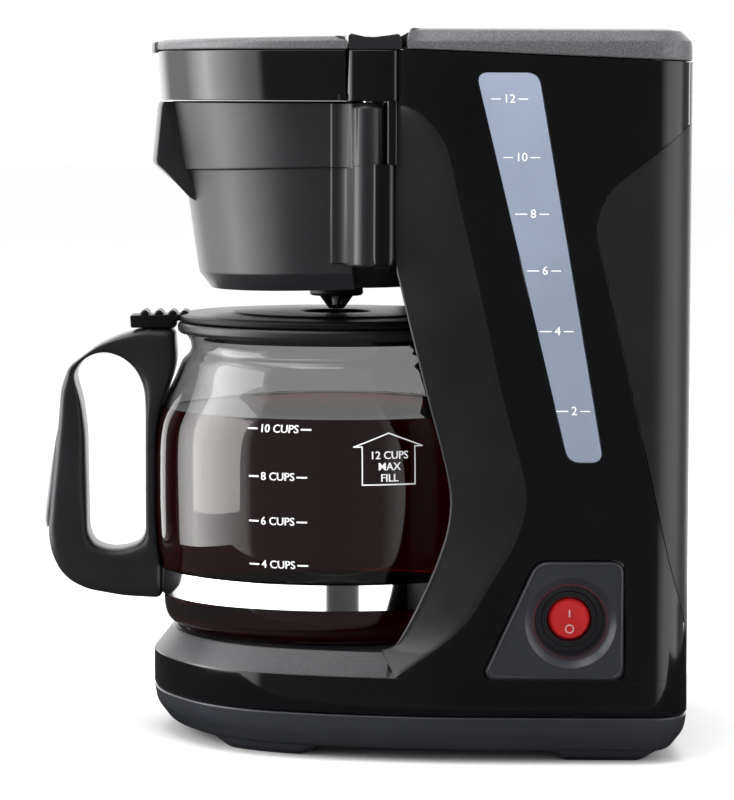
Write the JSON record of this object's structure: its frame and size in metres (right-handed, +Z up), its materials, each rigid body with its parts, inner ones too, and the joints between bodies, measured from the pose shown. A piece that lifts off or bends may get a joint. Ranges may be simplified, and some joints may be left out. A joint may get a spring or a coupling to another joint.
{
  "type": "drip coffee maker",
  "caption": "Tall drip coffee maker with a swing-out brew basket, a glass carafe on a warming plate, a lidded water tank with a level window, and a lit rocker switch.",
  "frame": {"origin": "on the surface it stands on, under the middle of its outer box", "axes": "+Z up, front (carafe handle) towards -Y, switch and level window on the +X side"},
  "size_m": [0.19, 0.267, 0.2945],
  "materials": {
    "gloss_black": "high gloss moulded black",
    "satin_black": "satin moulded black",
    "textured_grey": "fine spark-textured dark grey",
    "slate": "satin slate",
    "foot_rubber": "matt black",
    "clear_glass": "clear heat-resisting glass",
    "window_blue": "milky light blue, white print",
    "tank_clear": "natural translucent plastic",
    "chrome": "polished",
    "steel": "plated",
    "coated_plate": "dark non-stick coating",
    "rocker_red": "translucent red with a lamp behind",
    "silver_trim": "silver satin",
    "silicone": "translucent silicone"
  },
  "bodies": {
    "machine": {"base_shell": "gloss_black", "bottom_cover": "slate", "foot_front_left": "foot_rubber", "foot_front_right": "foot_rubber", "foot_rear_left": "foot_rubber", "foot_rear_right": "foot_rubber", "cover_screw_1": "steel", "cover_screw_2": "steel", "cover_screw_3": "steel", "cover_screw_4": "steel", "warming_plate": "coated_plate", "plate_seal": "foot_rubber", "heater_element": "steel", "heater_clamp": "steel", "thermostat": "satin_black", "thermal_fuse": "silver_trim", "terminal_block": "silicone", "cord_gland": "foot_rubber", "side_panel_right": "gloss_black", "side_panel_left": "gloss_black", "rear_cover": "satin_black", "tower_front_wall": "satin_black", "basket_bay_wall": "satin_black", "head_housing": "gloss_black", "top_cover_front": "textured_grey", "top_bridge": "satin_black", "lid_pin_left": "steel", "lid_pin_right": "steel", "hinge_column": "gloss_black", "latch_column": "gloss_black", "basket_hinge_pin": "steel", "water_tank": "tank_clear", "water_window": "window_blue", "check_valve": "silicone", "inlet_hose": "silicone", "riser_tube": "silicone", "spray_head": "tank_clear", "switch_bezel": "slate", "switch_body": "satin_black"},
    "tank_lid": {"tank_lid": "textured_grey"},
    "brew_basket": {"basket_holder": "satin_black", "filter_basket": "satin_black", "valve_guard": "satin_black", "valve_cage": "satin_black"},
    "drip_valve": {"valve_stem": "silver_trim", "valve_seal": "silicone", "valve_spring": "steel"},
    "switch_rocker": {"switch_rocker": "rocker_red"},
    "carafe": {"carafe_glass": "clear_glass", "collar_ring": "satin_black", "chrome_band": "chrome", "carafe_handle": "satin_black", "handle_strip": "silver_trim", "carafe_lid_pin": "steel"},
    "carafe_lid": {"carafe_lid": "satin_black"}
  },
  "joints": [
    {"name": "tank_lid_hinge", "type": "hinge", "parent": "machine", "child": "tank_lid", "pos_m": [0, 0.0205, 0.2915], "axis": [1, 0, 0], "range_deg": [0, 95]},
    {"name": "basket_swing", "type": "hinge", "parent": "machine", "child": "brew_basket", "pos_m": [0.084, 0.0039, 0.226], "axis": [0, 0, 1], "range_deg": [0, 95]},
    {"name": "drip_valve_lift", "type": "slide", "parent": "brew_basket", "child": "drip_valve", "axis": [0, 0, 1], "range_m": [0, 0.004], "stiffness_N_per_m": 300, "springref_m": -0.003, "deforming": ["valve_spring"]},
    {"name": "switch_rock", "type": "hinge", "parent": "machine", "child": "switch_rocker", "pos_m": [0.0795, 0.0855, 0.0575], "axis": [0, 1, 0], "range_deg": [0, 14]},
    {"name": "carafe_slide", "type": "slide", "parent": "machine", "child": "carafe", "axis": [0, -1, 0], "range_m": [0, 0.18]},
    {"name": "carafe_lid_hinge", "type": "hinge", "parent": "carafe", "child": "carafe_lid", "pos_m": [0, -0.0882, 0.1679], "axis": [1, 0, 0], "range_deg": [0, 3.5]}
  ]
}
